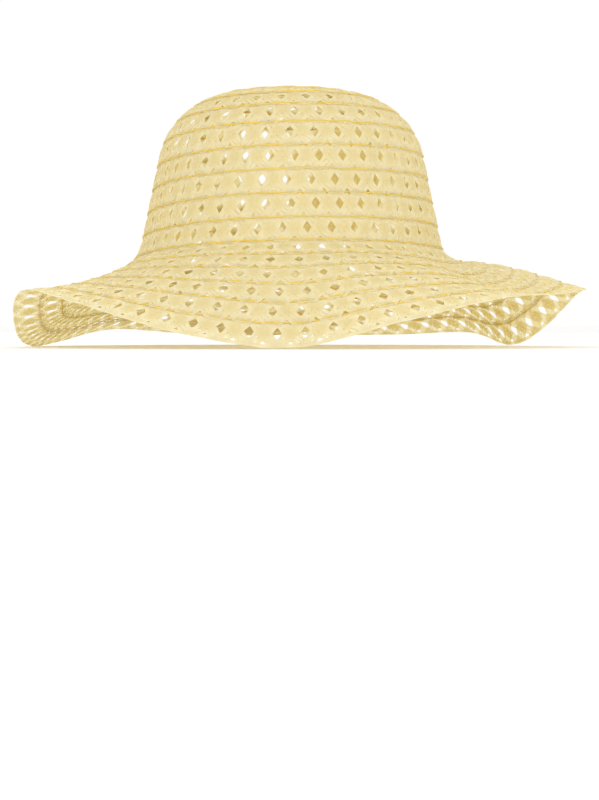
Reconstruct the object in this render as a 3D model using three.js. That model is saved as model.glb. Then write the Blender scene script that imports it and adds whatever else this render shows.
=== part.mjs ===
// Easter bonnet: a pale yellow sun hat of openwork straw braid, sewn in rows from the tip of
// the crown to the edge of a wavy brim. Three pieces of braid wall follow each other down one
// curved section: the crown's tip, the crown's side and the brim.
//
// Millimetres and degrees. +Z is up, the front of the hat faces -Y, and the wearer's left is +X.
// Azimuth is 0 at the front, 90 at +X and 180 at the back. The distance along the section
// starts at the tip's centre and ends at the brim's edge.

import * as THREE from "three";

// Size of the crown
const BASE_OVAL = 1.22; // depth over width of the head opening
const TIP_OVAL = 1.11; // depth over width of the rows at the tip
const TIP_FLAT = 12; // distance over which the tip's centre is flat
const TIP_END = 33; // distance at which the tip turns into the shoulder
const TIP_SLOPE = 4; // slope of the tip where the shoulder begins
const SHOULDER_RADIUS = 42;
const WALL_TAPER = 11.5; // lean of the crown's side walls, each towards the other
const CROWN_LEAN = 3.2; // the crown leans back, as the hat rests on its brim

// Rows of braid
const TIP_ROWS = 4;
const CROWN_ROWS = 11; // from the tip's centre to the head line, the tip's rows included
const CROWN_ROW_WIDTH = 13;
const BRIM_ROWS = 6;
const BRIM_ROW_WIDTH = 13.05;
const HEAD_LINE = CROWN_ROWS * CROWN_ROW_WIDTH;
const BRIM_WIDTH = BRIM_ROWS * BRIM_ROW_WIDTH;

// Turn from the crown's wall into the brim, on each side of the head line
const FLARE_ABOVE = 9;
const FLARE_BELOW = 8;

// Braid wall
const WALL = 1.5;
const ROW_BULGE = 0.45; // a row's middle stands this proud, and its sewn edges this far in
const PIECE_GAP = 0.3;

// Gaps of the openwork, one for several of the braid's own
const GAP_ALONG = 6;
const GAP_ACROSS = 9;

// Facets round each piece
const TIP_FACETS = 48;
const SIDE_FACETS = 64;
const BRIM_FACETS = 72;
const SECTION_STEP = 0.5;

// The brim's waves: its slope below the crown's base where it leaves the crown, and at its edge
const WAVE_STEP = 20;
const BRIM_WAVES = [
  { azimuth: -180, atCrown: 24, atEdge: 25 },
  { azimuth: -160, atCrown: 24, atEdge: 24 },
  { azimuth: -140, atCrown: 22, atEdge: 24 },
  { azimuth: -120, atCrown: 29, atEdge: 33 },
  { azimuth: -100, atCrown: 36, atEdge: 36 },
  { azimuth: -80, atCrown: 42, atEdge: 22 },
  { azimuth: -60, atCrown: 32, atEdge: 3 },
  { azimuth: -40, atCrown: 28, atEdge: 22 },
  { azimuth: -20, atCrown: 26, atEdge: 52 },
  { azimuth: 0, atCrown: 27, atEdge: 66.5 },
  { azimuth: 20, atCrown: 23, atEdge: 44 },
  { azimuth: 40, atCrown: 27, atEdge: 18 },
  { azimuth: 60, atCrown: 38, atEdge: 0 },
  { azimuth: 80, atCrown: 23, atEdge: 5 },
  { azimuth: 100, atCrown: -3, atEdge: 30 },
  { azimuth: 120, atCrown: 6, atEdge: 62.5 },
  { azimuth: 140, atCrown: 8, atEdge: 43 },
  { azimuth: 160, atCrown: 18, atEdge: 32 },
];

// A wave column read at any azimuth, by a closed Catmull-Rom curve through its rows
function wave(column, azimuth) {
  const place = (azimuth - BRIM_WAVES[0].azimuth) / WAVE_STEP;
  const row = Math.floor(place);
  const f = place - row;
  const count = BRIM_WAVES.length;
  const [a, b, c, d] = [-1, 0, 1, 2].map((k) => BRIM_WAVES[(row + k + 2 * count) % count][column]);
  const linear = (c - a) * f;
  const square = (2 * a - 5 * b + 4 * c - d) * f ** 2;
  const cube = (3 * b - a - 3 * c + d) * f ** 3;
  return 0.5 * (2 * b + linear + square + cube);
}

// Slope of the section in degrees below the crown's base, at a distance from the tip's centre
function slopeAt(azimuth, distance) {
  const tip = TIP_SLOPE * THREE.MathUtils.clamp((distance - TIP_FLAT) / (TIP_END - TIP_FLAT), 0, 1);
  const shoulder = THREE.MathUtils.radToDeg(Math.max(distance - TIP_END, 0) / SHOULDER_RADIUS);
  const crown = Math.min(tip + shoulder, 90 - WALL_TAPER);
  const across = THREE.MathUtils.clamp((distance - HEAD_LINE) / BRIM_WIDTH, 0, 1);
  const brim = THREE.MathUtils.lerp(wave("atCrown", azimuth), wave("atEdge", azimuth), across);
  const turned = THREE.MathUtils.smoothstep(distance, HEAD_LINE - FLARE_ABOVE, HEAD_LINE + FLARE_BELOW);
  return THREE.MathUtils.lerp(crown, brim, turned);
}

// The section at one azimuth, summed up in small steps: how far it has gone out and down
const sections = new Map();
function sectionAt(azimuth) {
  if (!sections.has(azimuth)) {
    const steps = Math.ceil((HEAD_LINE + BRIM_WIDTH) / SECTION_STEP) + 2;
    const out = [0];
    const down = [0];
    for (let k = 0; k < steps; k++) {
      const slope = THREE.MathUtils.degToRad(slopeAt(azimuth, (k + 0.5) * SECTION_STEP));
      out.push(out[k] + Math.cos(slope) * SECTION_STEP);
      down.push(down[k] + Math.sin(slope) * SECTION_STEP);
    }
    sections.set(azimuth, { out, down });
  }
  return sections.get(azimuth);
}

function readSteps(sums, distance) {
  const place = distance / SECTION_STEP;
  const step = Math.floor(place);
  return THREE.MathUtils.lerp(sums[step], sums[step + 1], place - step);
}

// The flare begins on the wall, at this half-width and this far below the tip
const FLARE_START = HEAD_LINE - FLARE_ABOVE;
const FLARE_HALF_WIDTH = readSteps(sectionAt(0).out, FLARE_START);
const CROWN_HEIGHT = readSteps(sectionAt(0).down, FLARE_START)
  + FLARE_ABOVE * Math.cos(THREE.MathUtils.degToRad(WALL_TAPER));

// Point of the wall's middle surface. Crown rows are ovals, and the brim goes square out of the
// last of them. Heights are from the plane of the head line, which leans back with the crown.
function middlePoint(azimuth, distance) {
  const section = sectionAt(azimuth);
  const out = readSteps(section.out, distance);
  const halfWidth = Math.min(out, FLARE_HALF_WIDTH);
  const pastWall = out - halfWidth;
  const oval = THREE.MathUtils.lerp(TIP_OVAL, BASE_OVAL, halfWidth / FLARE_HALF_WIDTH);
  const angle = THREE.MathUtils.degToRad(azimuth);
  const outward = new THREE.Vector3(Math.sin(angle), -Math.cos(angle) / BASE_OVAL, 0).normalize();
  return new THREE.Vector3(halfWidth * Math.sin(angle), -halfWidth * oval * Math.cos(angle), 0)
    .addScaledVector(outward, pastWall)
    .setZ(CROWN_HEIGHT - readSteps(section.down, distance))
    .applyAxisAngle(new THREE.Vector3(1, 0, 0), -THREE.MathUtils.degToRad(CROWN_LEAN));
}

// Outward normal of the middle surface, from its two directions
const NORMAL_TURN = 0.5;
const NORMAL_RUN = 0.5;
function outwardNormal(azimuth, distance) {
  if (distance < TIP_FLAT) {
    return new THREE.Vector3(0, 0, 1)
      .applyAxisAngle(new THREE.Vector3(1, 0, 0), -THREE.MathUtils.degToRad(CROWN_LEAN));
  }
  const along = middlePoint(azimuth + NORMAL_TURN, distance)
    .sub(middlePoint(azimuth - NORMAL_TURN, distance));
  const run = middlePoint(azimuth, distance + NORMAL_RUN)
    .sub(middlePoint(azimuth, distance - NORMAL_RUN));
  return run.cross(along).normalize();
}

// Lines of a piece: each row's sewn edges, set in, and its middle, set proud
function rowLines(firstEdge, rowWidth, rows) {
  const lines = [];
  for (let k = 0; k <= 2 * rows; k++) {
    const middle = k % 2 === 1;
    lines.push({ distance: firstEdge + (k * rowWidth) / 2, proud: middle ? ROW_BULGE : -ROW_BULGE });
  }
  return lines;
}

// A closed wall over a grid of lines and facets. openRows gives the rows that are cut through:
// row k has a diamond gap at every spacing-th facet of its middle line, from its offset on.
function braidWall(lines, facets, openRows, closedAtCentre) {
  const positions = [];
  const triangles = [];
  const addPoint = (point) => positions.push(point.x, point.y, point.z) / 3 - 1;
  const azimuths = Array.from({ length: facets }, (_, j) => (360 * j) / facets - 180);

  const faces = [1, -1].map((side) => lines.map(({ distance, proud }) => azimuths.map((azimuth) => {
    const offset = proud + (side * WALL) / 2;
    return middlePoint(azimuth, distance).addScaledVector(outwardNormal(azimuth, distance), offset);
  })));
  const indices = faces.map((face) => face.map((line) => line.map(addPoint)));

  const gapCentres = new Set();
  for (const { row, spacing, offset } of openRows) {
    for (let j = offset; j < facets; j += spacing) {
      gapCentres.add(`${2 * row + 1},${j}`);
    }
  }
  const isGap = (i, j) => gapCentres.has(`${i},${j}`);

  // Point of a gap's outline on the grid edge from its centre to the neighbour at (i, j)
  const outline = new Map();
  function outlinePoint(face, centreI, centreJ, i, j) {
    const key = [face, centreI, centreJ, i, j].join();
    if (!outline.has(key)) {
      const centre = faces[face][centreI][centreJ];
      const neighbour = faces[face][i][j];
      const reach = (i === centreI ? GAP_ALONG : GAP_ACROSS) / 2;
      outline.set(key, addPoint(centre.clone().lerp(neighbour, reach / centre.distanceTo(neighbour))));
    }
    return outline.get(key);
  }

  // Each grid cell as a fan of triangles from the corner opposite its cut corner
  function addCell(face, i, j) {
    const next = (j + 1) % facets;
    const corners = [[i, j], [i + 1, j], [i + 1, next], [i, next]];
    const cut = corners.findIndex(([ci, cj]) => isGap(ci, cj));
    const ring = [];
    for (let k = 0; k < 4; k++) {
      const n = (Math.max(cut, 0) + 2 + k) % 4;
      const [ci, cj] = corners[n];
      if (n === cut) {
        ring.push(outlinePoint(face, ci, cj, ...corners[(n + 3) % 4]));
        ring.push(outlinePoint(face, ci, cj, ...corners[(n + 1) % 4]));
      } else {
        ring.push(indices[face][ci][cj]);
      }
    }
    for (let k = 1; k < ring.length - 1; k++) {
      addTriangle(face, ring[0], ring[k], ring[k + 1]);
    }
  }
  function addTriangle(face, a, b, c) {
    if (face === 0) triangles.push(a, b, c);
    else triangles.push(a, c, b);
  }
  function addQuad(a, b, c, d) {
    triangles.push(a, b, c, a, c, d);
  }

  for (const face of [0, 1]) {
    for (let i = 0; i < lines.length - 1; i++) {
      for (let j = 0; j < facets; j++) addCell(face, i, j);
    }
  }

  // Thickness of the wall round each gap
  for (const key of gapCentres) {
    const [i, j] = key.split(",").map(Number);
    const around = [[i + 1, j], [i, (j + 1) % facets], [i - 1, j], [i, (j + facets - 1) % facets]];
    around.forEach((to, k) => {
      const from = around[(k + 3) % 4];
      const [outerFrom, outerTo] = [from, to].map((at) => outlinePoint(0, i, j, ...at));
      const [innerFrom, innerTo] = [from, to].map((at) => outlinePoint(1, i, j, ...at));
      addQuad(outerFrom, outerTo, innerTo, innerFrom);
    });
  }

  // Rims at the wall's last line, and at its first line or its centre
  const [outer, inner] = indices;
  const last = lines.length - 1;
  for (let j = 0; j < facets; j++) {
    const next = (j + 1) % facets;
    addQuad(outer[last][j], inner[last][j], inner[last][next], outer[last][next]);
    if (!closedAtCentre) addQuad(outer[0][j], outer[0][next], inner[0][next], inner[0][j]);
  }
  if (closedAtCentre) {
    [1, -1].forEach((side, face) => {
      const offset = lines[0].proud + (side * WALL) / 2;
      const centre = addPoint(middlePoint(0, 0).addScaledVector(outwardNormal(0, 0), offset));
      for (let j = 0; j < facets; j++) {
        addTriangle(face, centre, indices[face][0][j], indices[face][0][(j + 1) % facets]);
      }
    });
  }

  const geometry = new THREE.BufferGeometry();
  geometry.setAttribute("position", new THREE.Float32BufferAttribute(positions, 3));
  geometry.setIndex(triangles);
  geometry.computeVertexNormals();
  return geometry;
}

function straw(colour) {
  return new THREE.MeshStandardMaterial({ color: colour, roughness: 0.6, metalness: 0 });
}

// Tip of the crown: a flat round centre, then rows that begin to fall towards the shoulder
function crownTip() {
  const end = TIP_ROWS * CROWN_ROW_WIDTH - PIECE_GAP / 2;
  const lines = rowLines(0, CROWN_ROW_WIDTH, TIP_ROWS).slice(1);
  lines[0].distance = TIP_FLAT - NORMAL_RUN;
  lines[lines.length - 1].distance = end;
  return new THREE.Mesh(braidWall(lines, TIP_FACETS, [], true), straw("#E8D69F"));
}

// Side of the crown: the rows of the shoulder and the wall, down to the head line
function crownSide() {
  const rows = CROWN_ROWS - TIP_ROWS;
  const lines = rowLines(TIP_ROWS * CROWN_ROW_WIDTH, CROWN_ROW_WIDTH, rows);
  lines[0].distance += PIECE_GAP / 2;
  lines[lines.length - 1].distance -= PIECE_GAP / 2;
  const openRows = [
    { row: 1, spacing: 4, offset: 0 },
    { row: 3, spacing: 4, offset: 2 },
    { row: 5, spacing: 4, offset: 0 },
  ];
  return new THREE.Mesh(braidWall(lines, SIDE_FACETS, openRows, false), straw("#EADBA4"));
}

// Brim: six rows that wave up and down, low at the front and at the back of each side
function brim() {
  const lines = rowLines(HEAD_LINE, BRIM_ROW_WIDTH, BRIM_ROWS);
  lines[0].distance += PIECE_GAP / 2;
  const openRows = [
    { row: 1, spacing: 3, offset: 0 },
    { row: 3, spacing: 3, offset: 1 },
    { row: 5, spacing: 3, offset: 0 },
  ];
  return new THREE.Mesh(braidWall(lines, BRIM_FACETS, openRows, false), straw("#E6D9A4"));
}

const bonnet = new THREE.Group();
bonnet.name = "easter_bonnet";
const pieces = { crown_tip: crownTip(), crown_side: crownSide(), brim: brim() };
for (const [name, piece] of Object.entries(pieces)) {
  piece.name = name;
  bonnet.add(piece);
}

// The hat stands on the lowest points of its brim, centred on the origin
const box = new THREE.Box3().setFromObject(bonnet, true);
const centre = box.getCenter(new THREE.Vector3());
bonnet.position.set(-centre.x, -centre.y, -box.min.z);

export default bonnet;
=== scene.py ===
"""Easter bonnet of pale yellow openwork straw braid, standing on its wavy brim.

One strip of flat plait runs in a spiral from the tip of the crown to the edge of the brim. Each turn
lies over the inner edge of the next one and is sewn to it with golden thread. The plait has two
ribbons of three tapes each. They zigzag between the strip's edges and weave through each other, which
leaves a diamond hole in the middle of every pitch and half a diamond at each edge.

The shape is worked out in millimetres and degrees, and meshes are made in metres. Azimuth is 0 at the
front of the hat and 90 at the wearer's left (+X). Distance is measured along the hat's section, from
the tip's centre.
"""

import math

import bpy
import numpy as np
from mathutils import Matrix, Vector


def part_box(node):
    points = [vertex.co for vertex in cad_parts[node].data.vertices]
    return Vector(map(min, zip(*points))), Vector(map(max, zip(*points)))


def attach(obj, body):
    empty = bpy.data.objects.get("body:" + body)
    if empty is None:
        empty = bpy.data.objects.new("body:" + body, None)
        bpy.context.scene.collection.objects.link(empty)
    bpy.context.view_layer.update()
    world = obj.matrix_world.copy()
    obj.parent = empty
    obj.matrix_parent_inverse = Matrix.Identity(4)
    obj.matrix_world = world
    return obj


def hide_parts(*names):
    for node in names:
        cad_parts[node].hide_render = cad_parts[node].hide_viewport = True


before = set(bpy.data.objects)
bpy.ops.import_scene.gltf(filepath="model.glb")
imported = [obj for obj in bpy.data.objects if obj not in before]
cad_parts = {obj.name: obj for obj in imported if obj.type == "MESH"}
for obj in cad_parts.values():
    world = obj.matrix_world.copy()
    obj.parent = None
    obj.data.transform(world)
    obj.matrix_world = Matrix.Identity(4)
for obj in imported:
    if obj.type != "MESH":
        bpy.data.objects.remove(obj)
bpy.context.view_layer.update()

MM = 0.001

# Section of the hat
BASE_OVAL = 1.22  # depth over width of the head opening
TIP_OVAL = 1.11  # depth over width of the rows at the tip
TIP_FLAT = 12.0
TIP_END = 33.0
TIP_SLOPE = 4.0
SHOULDER_RADIUS = 42.0
WALL_TAPER = 11.5
CROWN_LEAN = 3.2
HEAD_LINE = 143.0
BRIM_WIDTH = 78.3
FLARE_ABOVE = 9.0
FLARE_BELOW = 8.0
EDGE = HEAD_LINE + BRIM_WIDTH

# The brim's waves: azimuth, slope where it leaves the crown, slope at its edge
WAVE_STEP = 20.0
BRIM_WAVES = np.array([
    (-180, 24, 25),
    (-160, 24, 24),
    (-140, 22, 24),
    (-120, 29, 33),
    (-100, 36, 36),
    (-80, 42, 22),
    (-60, 32, 3),
    (-40, 28, 22),
    (-20, 26, 52),
    (0, 27, 66.5),
    (20, 23, 44),
    (40, 27, 18),
    (60, 38, 0),
    (80, 23, 5),
    (100, -3, 30),
    (120, 6, 62.5),
    (140, 8, 43),
    (160, 18, 32),
])
AZIMUTH, AT_CROWN, AT_EDGE = range(3)

# Grid on which the wall's middle surface is worked out
GRID_TURN = 1.0
GRID_STEP = 0.5
GRID_PAST_EDGE = 4.0
WALL_HALF = 0.75  # of the CAD wall
WALL_SET_IN = 0.45  # of the CAD wall's sewn edges
EDGE_DROP = 0.85  # the plait is thinner than the CAD wall

# The strip of plait
ROWS = 17
ROW_WIDTH = EDGE / ROWS
STRIP_HALF = 8.2  # wider than a row, because each row lies over the next
CROWN_PITCH = 12.7
BRIM_PITCH = 14.0
ROW_TILT = 0.38
ROW_BULGE = 0.25
FIRST_TURN = 0.25
FIRST_DISTANCE = 8.4  # the first turn goes round the tip's centre
TUCK_TURNS = 0.15  # the last of each brim turn, where it moves one row out
TUCK_DROP = 0.9  # the strip's end goes under the turn before it
SPIRAL_TURNS = 11  # up to here the turns move out evenly
EVEN_AFTER = 4  # turns more, after which they keep their distance
COURSE_STEP = 1 / 720

# The weave
RIBBONS = 2
TAPES = 3
SAMPLES = 18  # for each crossing of the strip, from fold to fold
TAPE_SPACING = 2 / 9  # of a pitch, so that three tapes and a gap of one and a half make a pitch
TAPE_FILL = 0.89
ZIGZAG_STEEPER = 0.065  # the tapes run steeper beside the holes
WEAVE_HEIGHT = 0.18
TAPE_THICKNESS = 0.28
FOLD_INSET = 1.2
PATCH_RADIUS = 3.3  # the round patch between two holes, where the ribbons cross
PATCH_LIFT = 0.35
STRAW_SHARP = 50.0  # degrees, so that a tape's corners stay crisp

# The golden thread, and the strand along the brim's edge
THREAD_SAMPLES = 8  # for each pitch
THREAD_RADIUS = 0.25
THREAD_FLAT = 0.8  # height over width
THREAD_RISE = 0.6  # of its radius, over the tapes that it holds down
THREAD_INSET = 1.1
THREAD_FROM = FIRST_TURN + 0.1
INSIDE_DROP = 0.75  # on the inside the thread passes under the next row too
THREAD_SHARP = 120.0  # degrees, so that it looks round
CROWN_DIP = 0.35  # how far the stitches sink between the folds
BRIM_DIP = 0.9
BRIM_DIP_FROM = 10.5  # turns
EDGE_STRAND_HALF = 0.9
EDGE_STRAND_FROM = ROWS - 1 - TUCK_TURNS / 2
EDGE_STRAND_TO = ROWS - 0.01

# How uneven the hand-fed braid is: seed, spread, and pitches from one value to the next
ALONG_WANDER = (1, 0.03, 1.0)
EDGE_WANDER = (2, 0.15, 3.0)
HEIGHT_WANDER = (3, 0.12, 2.0)
WIDTH_WANDER = (4, 0.05, 1.5)
THREAD_WANDER = (5, 0.25, 0.5)

# Patterns of the straw and the thread, and the painted shade where the ribbons cross
FIBRE_WIDTH = 0.7  # real ones are about 0.1 wide, too fine to show
FIBRE_LENGTH = 16.0
FIBRE_HEIGHT = 0.2
DYE_WIDTH = 5.3  # blotches, where the straw took more or less of the dye
DYE_LENGTH = 22.0
DYE_SHARE = 0.45  # of the tone, and the fibres have the rest
PATCH_SHADE_SHARE = 0.6  # how far the middle of a patch takes the tone of the painted shade
PATCH_SHADE_TONE = 0.1  # tone of the painted shade, where 0 is the deepest tone and 1 the palest
PLY_LENGTH = 1.5  # real ones twist every 0.5, too fine to show
PLY_HEIGHT = 0.2
STRAND_APART = 7.3  # so that no two strands share their fibres

# Shares of the light that go through a face
THROUGH_STRAW = 0.69
THROUGH_THREAD = 0.5

# Numbers of a Mix node's colour sockets
MIX_A, MIX_B, MIX_COLOUR = 6, 7, 2

# Studio, in metres and watts
FLOOR_HALF = 30.0
HAT_MIDDLE = (0.0, 0.0, 0.07)
SOFTBOXES = [  # name, place, size, power
    ("key_softbox", (-0.8, -1.6, 0.55), 1.2, 5.0),
    ("fill_softbox", (0.9, -1.6, 0.3), 1.0, 7.0),
    ("back_softbox", (0.2, 1.6, 1.3), 1.6, 3.0),
]
SKY_STRENGTH = 1.01  # white, so that the plain backdrop is as white as paper

# Camera: level with the brim, 1.5 m in front, a long lens turned slightly down
CAMERA_PLACE = (-0.0022, -1.520, 0.012)
CAMERA_DOWN = 1.55
CAMERA_LENS = 125.0


def smooth(x):
    """0 below 0, 1 above 1, and 3 x^2 - 2 x^3 between."""
    x = np.clip(x, 0.0, 1.0)
    return x * x * (3 - 2 * x)


def mix(a, b, share):
    """a at share 0 and b at share 1, in a straight line."""
    return a + (b - a) * share


def wave(column, azimuth):
    """A column of the brim's waves at any azimuth, by a closed Catmull-Rom curve through its rows."""
    place = (azimuth - BRIM_WAVES[0, AZIMUTH]) / WAVE_STEP
    row = np.floor(place).astype(int)
    f = place - row
    a, b, c, d = (BRIM_WAVES[(row + k) % len(BRIM_WAVES), column] for k in (-1, 0, 1, 2))
    straight = (c - a) * f
    square = (2 * a - 5 * b + 4 * c - d) * f**2
    cube = (3 * b - a - 3 * c + d) * f**3
    return 0.5 * (2 * b + straight + square + cube)


def section_slope(azimuth, distance):
    """Slope of the section in degrees: the tip and its shoulder up to the wall's slope, which turns
    smoothly at the head line into the brim's slope. That goes evenly from its value at the crown to
    its value at the edge."""
    tip = TIP_SLOPE * np.clip((distance - TIP_FLAT) / (TIP_END - TIP_FLAT), 0, 1)
    shoulder = np.degrees(np.maximum(distance - TIP_END, 0) / SHOULDER_RADIUS)
    crown = np.minimum(tip + shoulder, 90 - WALL_TAPER)
    across = np.clip((distance - HEAD_LINE) / BRIM_WIDTH, 0, 1)
    brim = mix(wave(AT_CROWN, azimuth), wave(AT_EDGE, azimuth), across)
    turned = smooth((distance - HEAD_LINE + FLARE_ABOVE) / (FLARE_ABOVE + FLARE_BELOW))
    return mix(crown, brim, turned)


def wall_grid():
    """Middle surface of the hat, azimuths by distances. The section is the running sum of the cosine
    of its slope outwards and of the sine downwards. Crown rows are ovals, and the brim goes square out
    of the last of them. Then the whole leans back by CROWN_LEAN."""
    azimuth = np.arange(0.0, 360.0, GRID_TURN)[:, None]
    distance = np.arange(0.0, EDGE + GRID_PAST_EDGE, GRID_STEP)[None, :]
    slope = np.radians(section_slope(azimuth, distance + GRID_STEP / 2))
    out = np.cumsum(np.cos(slope), axis=1) * GRID_STEP
    down = np.cumsum(np.sin(slope), axis=1) * GRID_STEP
    out = np.hstack([np.zeros((len(azimuth), 1)), out[:, :-1]])
    down = np.hstack([np.zeros((len(azimuth), 1)), down[:, :-1]])

    flare = int((HEAD_LINE - FLARE_ABOVE) / GRID_STEP)
    wall_half_width = out[0, flare]
    height = down[0, flare] + FLARE_ABOVE * math.cos(math.radians(WALL_TAPER))
    half_width = np.minimum(out, wall_half_width)
    past_wall = out - half_width
    oval = mix(TIP_OVAL, BASE_OVAL, half_width / wall_half_width)
    turn = np.radians(azimuth)
    outward = np.stack([np.sin(turn), -np.cos(turn) / BASE_OVAL], -1)
    outward /= np.linalg.norm(outward, axis=-1, keepdims=True)
    x = half_width * np.sin(turn) + past_wall * outward[..., 0]
    y = -half_width * oval * np.cos(turn) + past_wall * outward[..., 1]
    z = height - down
    lean = math.radians(CROWN_LEAN)
    y, z = y * math.cos(lean) + z * math.sin(lean), z * math.cos(lean) - y * math.sin(lean)
    return np.stack([x, y, z], -1)


def grid_normals(points):
    """Outward normals of the grid: the cross product of its two directions, and the lean's own
    direction where the tip is flat."""
    along = np.roll(points, -1, axis=0) - np.roll(points, 1, axis=0)
    run = np.gradient(points, axis=1)
    normals = np.cross(run, along)
    flat = int(TIP_FLAT / GRID_STEP)
    lean = math.radians(CROWN_LEAN)
    normals[:, :flat] = (0.0, math.sin(lean), math.cos(lean))
    return normals / np.linalg.norm(normals, axis=-1, keepdims=True)


def placed_in_frame(points, normals):
    """The grid moved so that the box of its edge, with the CAD wall's thickness, has the place of the
    CAD brim's box: the same centre in x and y, and the same floor."""
    edge = int(round(EDGE / GRID_STEP))
    faces = [points[:, edge] + normals[:, edge] * (side * WALL_HALF - WALL_SET_IN) for side in (-1, 1)]
    faces = np.concatenate(faces)
    low, high = faces.min(axis=0), faces.max(axis=0)
    brim_low, brim_high = (np.array(corner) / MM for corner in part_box("brim"))
    shift = (brim_low + brim_high) / 2 - (low + high) / 2
    shift[2] = brim_low[2] - low[2] - EDGE_DROP
    return points + shift


WALL = wall_grid()
WALL_NORMALS = grid_normals(WALL)
WALL = placed_in_frame(WALL, WALL_NORMALS)


def on_wall(azimuth, distance):
    """Points and outward normals of the wall, read from the grid by bilinear interpolation. A distance
    below 0 lies past the tip's centre, on the opposite azimuth."""
    column = ((azimuth + 180.0 * (distance < 0)) % 360.0) / GRID_TURN
    row = np.abs(distance) / GRID_STEP
    i = np.floor(column).astype(int) % len(WALL)
    j = np.minimum(np.floor(row).astype(int), WALL.shape[1] - 2)
    next_i = (i + 1) % len(WALL)
    across = (column % 1.0)[..., None]
    along = (row - j)[..., None]
    found = []
    for grid in (WALL, WALL_NORMALS):
        near = mix(grid[i, j], grid[next_i, j], across)
        far = mix(grid[i, j + 1], grid[next_i, j + 1], across)
        found.append(mix(near, far, along))
    points, normals = found
    return points, normals / np.linalg.norm(normals, axis=-1, keepdims=True)


def strip_course():
    """Course of the strip's middle. Turns start at the back and go round against the azimuth. In the
    crown each turn moves out evenly by a row. On the brim it keeps its distance and moves out in the
    last TUCK_TURNS, so that the edge is even. The phase counts pitches along the strip."""
    turns = np.arange(FIRST_TURN, ROWS + COURSE_STEP / 2, COURSE_STEP)
    whole = np.floor(turns + 1e-9)  # a whole turn isn't rounded down
    part = turns - whole
    brim_part = smooth((part - 1 + TUCK_TURNS) / TUCK_TURNS)
    on_brim = smooth((turns - SPIRAL_TURNS) / EVEN_AFTER)
    rows = whole + mix(part - 0.5, brim_part, on_brim)
    distance = ROW_WIDTH * (rows + 1) - STRIP_HALF
    distance = np.clip(distance, FIRST_DISTANCE, EDGE - STRIP_HALF)
    azimuth = 180.0 - 360.0 * turns
    points, _ = on_wall(azimuth, distance)
    steps = np.linalg.norm(np.diff(points, axis=0), axis=1)
    pitch = mix(CROWN_PITCH, BRIM_PITCH, smooth((distance - HEAD_LINE) / ROW_WIDTH))
    phase = np.concatenate([[0.0], np.cumsum(steps / pitch[1:])])
    return {"turns": turns, "distance": distance, "pitch": pitch, "phase": phase}


COURSE = strip_course()


def course(name, phase):
    """A column of the course at the given phases."""
    return np.interp(phase, COURSE["phase"], COURSE[name])


def phase_at(turns):
    """The phase that the strip has reached after so many turns."""
    return float(np.interp(turns, COURSE["turns"], COURSE["phase"]))


def uneven(phase, seed, spread, every):
    """Slow wandering of hand-fed braid: seeded random values, one for each so many pitches, joined
    smoothly."""
    count = int(COURSE["phase"][-1] / every) + 3
    values = np.random.default_rng(seed).uniform(-spread, spread, count)
    place = np.clip(phase / every, 0, count - 1.001)  # just short of the last value
    k = np.floor(place).astype(int)
    return mix(values[k], values[k + 1], smooth(place - k))


def on_strip(phase, across, height):
    """Points and normals at a phase along the strip, a distance across it from its middle (outer edge
    positive), and a height over its own surface. The strip tilts like a roof tile, so that its outer
    edge lies over the next row, and bulges between its seams. Its end drops below the turn before."""
    turns = course("turns", phase)
    distance = course("distance", phase) + across
    points, normals = on_wall(180.0 - 360.0 * turns, distance)
    seam_middle = STRIP_HALF - ROW_WIDTH / 2
    bulge = ROW_BULGE * np.cos(math.pi * (across - seam_middle) / ROW_WIDTH)
    tilt = ROW_TILT * across / STRIP_HALF
    first_turn = 1 - smooth(turns - FIRST_TURN)
    tuck = smooth((turns - ROWS + 2 * TUCK_TURNS) / TUCK_TURNS)
    lift = height + bulge + tilt + TUCK_DROP * (first_turn - tuck)
    return points + normals * lift[..., None], normals


def zigzag(x):
    """A tape's place across the strip, -1 to 1, for x counted in crossings. It climbs from fold to fold
    as 2 x + ZIGZAG_STEEPER sin(4 pi x), for x from -1/2 to 1/2, and then comes back the same way."""
    there = (x + 0.5) % 2
    local = np.where(there < 1, there - 0.5, 1.5 - there)
    return 2 * local + ZIGZAG_STEEPER * np.sin(4 * math.pi * local)


def weave_heights():
    """Height of each tape from fold to fold, tapes by samples, from -1 to 1. A tape meets the other
    ribbon's three tapes in the middle of the strip and its own ribbon's tapes beside the folds. It
    goes over and under in turn, lies at 0 in its folds, and follows half cosine waves between."""
    table = np.zeros((TAPES, SAMPLES + 1))
    samples = np.arange(SAMPLES + 1)
    middle = SAMPLES // 2
    for tape in range(TAPES):
        knots = {0: 0, SAMPLES: 0}
        for other in range(TAPES):
            step = 2 * (other - tape)
            over = (-1) ** (tape + other)
            knots[middle + step] = over
            if other < tape:
                knots[SAMPLES + step] = -over
            if other > tape:
                knots[step] = -over
        places = np.array(sorted(knots))
        heights = np.array([knots[p] for p in places], float)
        k = np.clip(np.searchsorted(places, samples, side="right") - 1, 0, len(places) - 2)
        share = (samples - places[k]) / (places[k + 1] - places[k])
        table[tape] = mix(heights[k], heights[k + 1], (1 - np.cos(math.pi * share)) / 2)
    return table


WEAVE = weave_heights()


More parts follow.
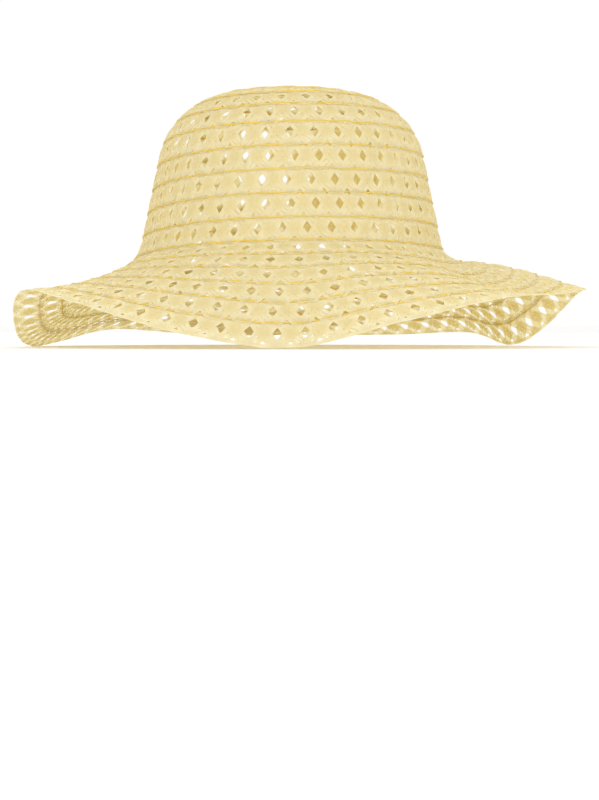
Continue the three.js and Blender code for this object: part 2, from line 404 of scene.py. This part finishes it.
def swept_box(points, sides, normals, widths, thickness):
    """Closed flat strands, for arrays of strands by samples. Each sample has a ring of four corners,
    half a width to either side and half a thickness up and down. Returns vertices, faces, and for each
    vertex its place across and along the strand in millimetres."""
    strands, samples = points.shape[:2]
    corner_side = np.array([1, -1, -1, 1])
    corner_up = np.array([1, 1, -1, -1])
    half = widths[..., None, None] / 2 * sides[:, :, None, :] * corner_side[None, None, :, None]
    up = thickness / 2 * normals[:, :, None, :] * corner_up[None, None, :, None]
    vertices = (points[:, :, None, :] + half + up).reshape(-1, 3)

    ring = np.arange(strands * samples * 4).reshape(strands, samples, 4)
    a, b = ring[:, :-1], ring[:, 1:]
    after = [1, 2, 3, 0]
    walls = np.stack([a, a[..., after], b[..., after], b], -1).reshape(-1, 4)
    caps = np.concatenate([ring[:, 0][:, ::-1], ring[:, -1]])
    faces = np.concatenate([walls, caps])

    lengths = np.linalg.norm(np.diff(points, axis=1), axis=-1)
    along = np.concatenate([np.zeros((strands, 1)), np.cumsum(lengths, axis=1)], axis=1)
    across = widths[..., None] / 2 * corner_side[None, None, :]
    apart = STRAND_APART * np.arange(strands)[:, None, None]
    uv = np.stack([across + apart, np.broadcast_to(along[..., None], across.shape)], -1).reshape(-1, 2)
    return vertices, faces, uv


def make_piece(name, vertices, faces, uv, material, sharp, patch=None):
    """A mesh object from arrays in millimetres, at the origin, shaded smooth except over edges sharper
    than the given angle. patch is how far each vertex belongs to a crossing of the ribbons."""
    mesh = bpy.data.meshes.new(name)
    mesh.vertices.add(len(vertices))
    mesh.vertices.foreach_set("co", (vertices * MM).astype(np.float32).ravel())
    mesh.loops.add(faces.size)
    mesh.loops.foreach_set("vertex_index", faces.astype(np.int32).ravel())
    mesh.polygons.add(len(faces))
    mesh.polygons.foreach_set("loop_start", np.arange(0, faces.size, 4, dtype=np.int32))
    mesh.update(calc_edges=True)
    layer = mesh.uv_layers.new(name="strand")
    layer.data.foreach_set("uv", (uv[faces.ravel()] * MM).astype(np.float32).ravel())
    if patch is not None:
        shares = mesh.attributes.new("patch", "FLOAT", "POINT")
        shares.data.foreach_set("value", patch.astype(np.float32))
    mesh.polygons.foreach_set("use_smooth", np.ones(len(faces), bool))
    mesh.set_sharp_from_angle(angle=math.radians(sharp))
    mesh.materials.append(material)
    piece = bpy.data.objects.new(name, mesh)
    bpy.context.scene.collection.objects.link(piece)
    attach(piece, "root")
    return piece


def braid(first_turn, last_turn):
    """Tapes of the plait between two turns of the strip. Tape t of ribbon r runs along the strip at
    the phase x + (t - 1) TAPE_SPACING, across it at STRIP_HALF times the zigzag of x - r, and at the
    weave's height. Its width is its spacing times the sine of its slope, so that tapes lie side by
    side. Round each crossing of the ribbons, at every whole phase, the plait swells by PATCH_LIFT, in
    full up to half of PATCH_RADIUS and down to nothing at one and a half. The last array is the share
    of that swelling at each vertex."""
    first = math.ceil(phase_at(first_turn) * SAMPLES)
    last = math.floor(phase_at(last_turn) * SAMPLES)
    if first_turn == FIRST_TURN:
        first += SAMPLES // 2
    if last_turn == ROWS:
        last -= SAMPLES // 2
    steps = np.arange(first, last + 1)[None, :]
    ribbon, tape = (k.reshape(-1, 1) for k in np.divmod(np.arange(RIBBONS * TAPES), TAPES))
    x = steps / SAMPLES - ribbon
    phase = steps / SAMPLES + (tape - 1) * TAPE_SPACING
    pitch = course("pitch", phase)

    phase = phase + uneven(phase, *ALONG_WANDER)
    half = STRIP_HALF + uneven(phase, *EDGE_WANDER)
    across = np.clip(half * zigzag(x), FOLD_INSET - half, half - FOLD_INSET)
    crossing, sample = np.divmod(steps - ribbon * SAMPLES + SAMPLES // 2, SAMPLES)
    height = WEAVE_HEIGHT * WEAVE[tape, sample] * np.where(crossing % 2, -1, 1)
    from_crossing = np.hypot((phase - np.round(phase)) * pitch, across)
    patch = smooth(1.5 - from_crossing / PATCH_RADIUS)
    height += PATCH_LIFT * patch + uneven(phase, *HEIGHT_WANDER)
    points, normals = on_strip(phase, across, height)

    nudge = 0.01
    climb = half * (zigzag(x + nudge) - zigzag(x - nudge)) / (2 * nudge)
    slope = np.arctan2(np.abs(climb), pitch)
    widths = TAPE_FILL * TAPE_SPACING * pitch * np.sin(slope) * (1 + uneven(phase, *WIDTH_WANDER))
    widths = np.where(sample == 0, TAPE_FILL * 2 * FOLD_INSET, widths)
    tangents = np.gradient(points, axis=1)
    sides = np.cross(normals, tangents)
    sides /= np.linalg.norm(sides, axis=-1, keepdims=True)
    return *swept_box(points, sides, normals, widths, TAPE_THICKNESS), np.repeat(patch.ravel(), 4)


def cord_along(first_turn, last_turn, across, height, sink, width, thickness, samples):
    """One strand along the strip. It lies over the folds of the tapes and sinks between them, by the
    square of the cosine of pi times the phase, CROWN_DIP deep in the crown and BRIM_DIP on the brim.
    sink is -1 to sink inwards, 1 to sink outwards, and 0 to keep its height."""
    first = math.ceil(phase_at(first_turn) * samples)
    last = math.floor(phase_at(last_turn) * samples)
    phase = (np.arange(first, last + 1) / samples)[None, :]
    dip = mix(CROWN_DIP, BRIM_DIP, smooth(course("turns", phase) - BRIM_DIP_FROM))
    between = np.cos(math.pi * phase) ** 2
    wander = uneven(phase, *THREAD_WANDER)
    points, normals = on_strip(phase, across + wander, height + sink * dip * between)
    sides = np.cross(normals, np.gradient(points, axis=1))
    sides /= np.linalg.norm(sides, axis=-1, keepdims=True)
    return swept_box(points, sides, normals, np.full(phase.shape, width), thickness)


def linear(hex_colour):
    """sRGB hex colour as linear RGBA."""
    channels = [int(hex_colour[k:k + 2], 16) / 255 for k in (1, 3, 5)]
    return [c / 12.92 if c <= 0.04045 else ((c + 0.055) / 1.055) ** 2.4 for c in channels] + [1.0]


def add_node(tree, kind, settings=None, links=None):
    """A node with its settings (properties, or input sockets by name or number) and its links (input:
    output)."""
    node = tree.nodes.new(kind)
    for name, value in (settings or {}).items():
        if isinstance(name, int) or name in node.inputs:
            node.inputs[name].default_value = value
        else:
            setattr(node, name, value)
    for name, output in (links or {}).items():
        tree.links.new(output, node.inputs[name])
    return node


def empty_material(name):
    """A material with an empty node tree."""
    material = bpy.data.materials.new(name)
    material.use_nodes = True
    material.node_tree.nodes.clear()
    return material


def paper_straw_material():
    """Twisted paper straw, bleached, dyed pale yellow and plaited flat. It has a satin surface with
    fibres along each tape, and takes the dye a little unevenly. The thin tapes let much light through,
    which makes the inside of the hat glow golden and the outside look pale. Where the ribbons cross,
    the plait is painted a shade deeper, as painted shade for the swelling of each crossing.

    The colours are those of one face. Light meets four faces in the two layers of tapes, and comes
    back as the darker yellow of the finished plait."""
    material = empty_material("plaited_paper_straw")
    tree = material.node_tree
    strand = add_node(tree, "ShaderNodeUVMap", {"uv_map": "strand"})
    # Fibres are drawn coarser than real ones, as wide as they need to be to show
    fibre_scale = add_node(
        tree,
        "ShaderNodeMapping",
        {"Scale": (1 / (FIBRE_WIDTH * MM), 1 / (FIBRE_LENGTH * MM), 1.0)},
        {"Vector": strand.outputs["UV"]},
    )
    fibres = add_node(
        tree,
        "ShaderNodeTexNoise",
        {"Scale": 1.0, "Detail": 3.0},
        {"Vector": fibre_scale.outputs["Vector"]},
    )
    dye_scale = add_node(
        tree,
        "ShaderNodeMapping",
        {"Scale": (1 / (DYE_WIDTH * MM), 1 / (DYE_LENGTH * MM), 1.0)},
        {"Vector": strand.outputs["UV"]},
    )
    dye = add_node(
        tree,
        "ShaderNodeTexNoise",
        {"Scale": 1.0, "Detail": 2.0},
        {"Vector": dye_scale.outputs["Vector"]},
    )
    tone = add_node(
        tree,
        "ShaderNodeMix",
        {"Factor": DYE_SHARE},
        {"A": fibres.outputs["Fac"], "B": dye.outputs["Fac"]},
    )
    # Painted shade: round each crossing of the ribbons the tone is pulled towards a deeper yellow,
    # which stands in for the shade of the swelling there
    patch = add_node(tree, "ShaderNodeAttribute", {"attribute_name": "patch"})
    depth = add_node(
        tree, "ShaderNodeMath", {"operation": "MULTIPLY", 1: PATCH_SHADE_SHARE}, {0: patch.outputs["Fac"]}
    )
    tone_and_patch_shade = add_node(
        tree,
        "ShaderNodeMix",
        {"B": PATCH_SHADE_TONE},
        {"Factor": depth.outputs["Value"], "A": tone.outputs["Result"]},
    )
    sent_back = add_node(
        tree,
        "ShaderNodeMix",
        {"data_type": "RGBA", MIX_A: linear("#E9F2CA"), MIX_B: linear("#FFFFFF")},
        {"Factor": tone_and_patch_shade.outputs["Result"]},
    )
    let_through = add_node(
        tree,
        "ShaderNodeMix",
        {"data_type": "RGBA", MIX_A: linear("#FEEEBC"), MIX_B: linear("#FFFDF4")},
        {"Factor": tone_and_patch_shade.outputs["Result"]},
    )
    bump = add_node(
        tree,
        "ShaderNodeBump",
        {"Strength": 0.8, "Distance": FIBRE_HEIGHT * MM},
        {"Height": fibres.outputs["Fac"]},
    )
    surface = add_node(
        tree,
        "ShaderNodeBsdfPrincipled",
        {"Roughness": 0.5, "IOR": 1.5},
        {"Base Color": sent_back.outputs[MIX_COLOUR], "Normal": bump.outputs["Normal"]},
    )
    glow = add_node(
        tree,
        "ShaderNodeBsdfTranslucent",
        links={"Color": let_through.outputs[MIX_COLOUR], "Normal": bump.outputs["Normal"]},
    )
    paper = add_node(
        tree,
        "ShaderNodeMixShader",
        {"Fac": THROUGH_STRAW},
        {1: surface.outputs["BSDF"], 2: glow.outputs["BSDF"]},
    )
    add_node(tree, "ShaderNodeOutputMaterial", links={"Surface": paper.outputs["Shader"]})
    return material


def thread_material():
    """Polyester sewing thread, spun from short fibres and dyed golden yellow. It is matter than the
    straw's satin, and some light goes through its fibres, so that it stays golden in the shade."""
    material = empty_material("spun_golden_thread")
    tree = material.node_tree
    strand = add_node(tree, "ShaderNodeUVMap", {"uv_map": "strand"})
    # Plies are drawn coarser than real ones, as long as they need to be to show
    twist = add_node(
        tree,
        "ShaderNodeMapping",
        {"Scale": (1 / (PLY_LENGTH * MM), 1 / (PLY_LENGTH * MM), 1.0)},
        {"Vector": strand.outputs["UV"]},
    )
    plies = add_node(
        tree, "ShaderNodeTexNoise", {"Scale": 1.0, "Detail": 1.0}, {"Vector": twist.outputs["Vector"]}
    )
    sent_back = add_node(
        tree,
        "ShaderNodeMix",
        {"data_type": "RGBA", MIX_A: linear("#FBDC66"), MIX_B: linear("#FFF392")},
        {"Factor": plies.outputs["Fac"]},
    )
    bump = add_node(
        tree,
        "ShaderNodeBump",
        {"Strength": 0.5, "Distance": PLY_HEIGHT * MM},
        {"Height": plies.outputs["Fac"]},
    )
    surface = add_node(
        tree,
        "ShaderNodeBsdfPrincipled",
        {"Roughness": 0.6},
        {"Base Color": sent_back.outputs[MIX_COLOUR], "Normal": bump.outputs["Normal"]},
    )
    glow = add_node(tree, "ShaderNodeBsdfTranslucent", {"Color": linear("#FFEE8C")})
    yarn = add_node(
        tree,
        "ShaderNodeMixShader",
        {"Fac": THROUGH_THREAD},
        {1: surface.outputs["BSDF"], 2: glow.outputs["BSDF"]},
    )
    add_node(tree, "ShaderNodeOutputMaterial", links={"Surface": yarn.outputs["Shader"]})
    return material


def floor_material():
    """Matt white painted board."""
    material = empty_material("matt_white_board")
    tree = material.node_tree
    surface = add_node(
        tree, "ShaderNodeBsdfPrincipled", {"Roughness": 0.9, "Base Color": linear("#FCFBF9")}
    )
    add_node(tree, "ShaderNodeOutputMaterial", links={"Surface": surface.outputs["BSDF"]})
    return material


straw = paper_straw_material()
thread = thread_material()

# Turns of the strip at which one piece ends and the next begins
PIECES = [
    ("crown_tip_braid", FIRST_TURN, 4, "crown_tip"),
    ("crown_shoulder_braid", 4, 8, "crown_side"),
    ("crown_wall_braid", 8, 11, "crown_side"),
    ("brim_inner_braid", 11, 13, "brim"),
    ("brim_middle_braid", 13, 15, "brim"),
    ("brim_outer_braid", 15, ROWS, "brim"),
]
for name, first_turn, last_turn, node in PIECES:
    *shape, patch = braid(first_turn, last_turn)
    piece = make_piece(name, *shape, straw, STRAW_SHARP, patch)
    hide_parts(node)

seam = STRIP_HALF - THREAD_INSET
thread_width = 2 * THREAD_RADIUS
thread_size = (thread_width, thread_width * THREAD_FLAT, THREAD_SAMPLES)
on_top = WEAVE_HEIGHT + TAPE_THICKNESS / 2 + THREAD_RADIUS * THREAD_RISE
top_thread = cord_along(THREAD_FROM, ROWS - 1, seam, on_top, -1, *thread_size)
make_piece("sewing_thread", *top_thread, thread, THREAD_SHARP)
inside_thread = cord_along(THREAD_FROM, ROWS - 1, seam, -on_top - INSIDE_DROP, 1, *thread_size)
make_piece("sewing_thread_inside", *inside_thread, thread, THREAD_SHARP)

edge_size = (2 * EDGE_STRAND_HALF, TAPE_THICKNESS, THREAD_SAMPLES)
at_edge = STRIP_HALF - EDGE_STRAND_HALF
edge_strand = cord_along(EDGE_STRAND_FROM, EDGE_STRAND_TO, at_edge, 0.0, 0, *edge_size)
make_piece("brim_edge_strand", *edge_strand, straw, STRAW_SHARP)


def add_floor():
    """A wide matt board at the hat's lowest point."""
    corners = [(x * FLOOR_HALF, y * FLOOR_HALF, 0.0) for x, y in ((-1, -1), (1, -1), (1, 1), (-1, 1))]
    mesh = bpy.data.meshes.new("floor")
    mesh.from_pydata(corners, [], [(0, 1, 2, 3)])
    mesh.materials.append(floor_material())
    floor = bpy.data.objects.new("floor", mesh)
    bpy.context.scene.collection.objects.link(floor)


def add_softbox(name, place, size, power):
    """A square area light aimed at the hat."""
    lamp = bpy.data.lights.new(name, "AREA")
    lamp.size = size
    lamp.energy = power
    holder = bpy.data.objects.new(name, lamp)
    holder.location = place
    aim = Vector(HAT_MIDDLE) - Vector(place)
    holder.rotation_euler = aim.to_track_quat("-Z", "Y").to_euler()
    bpy.context.scene.collection.objects.link(holder)


add_floor()
for softbox in SOFTBOXES:
    add_softbox(*softbox)

world = bpy.data.worlds.new("white_studio")
world.use_nodes = True
sky = world.node_tree.nodes["Background"]
sky.inputs["Color"].default_value = (1.0, 1.0, 1.0, 1.0)
sky.inputs["Strength"].default_value = SKY_STRENGTH
bpy.context.scene.world = world
bpy.context.scene.view_settings.view_transform = "Standard"

lens = bpy.data.cameras.new("camera")
lens.sensor_width = 36.0
lens.lens = CAMERA_LENS
lens.clip_start = 0.05
lens.clip_end = 100.0
camera = bpy.data.objects.new("camera", lens)
camera.location = CAMERA_PLACE
camera.rotation_euler = (math.radians(90 - CAMERA_DOWN), 0.0, 0.0)
bpy.context.scene.collection.objects.link(camera)
bpy.context.scene.camera = camera
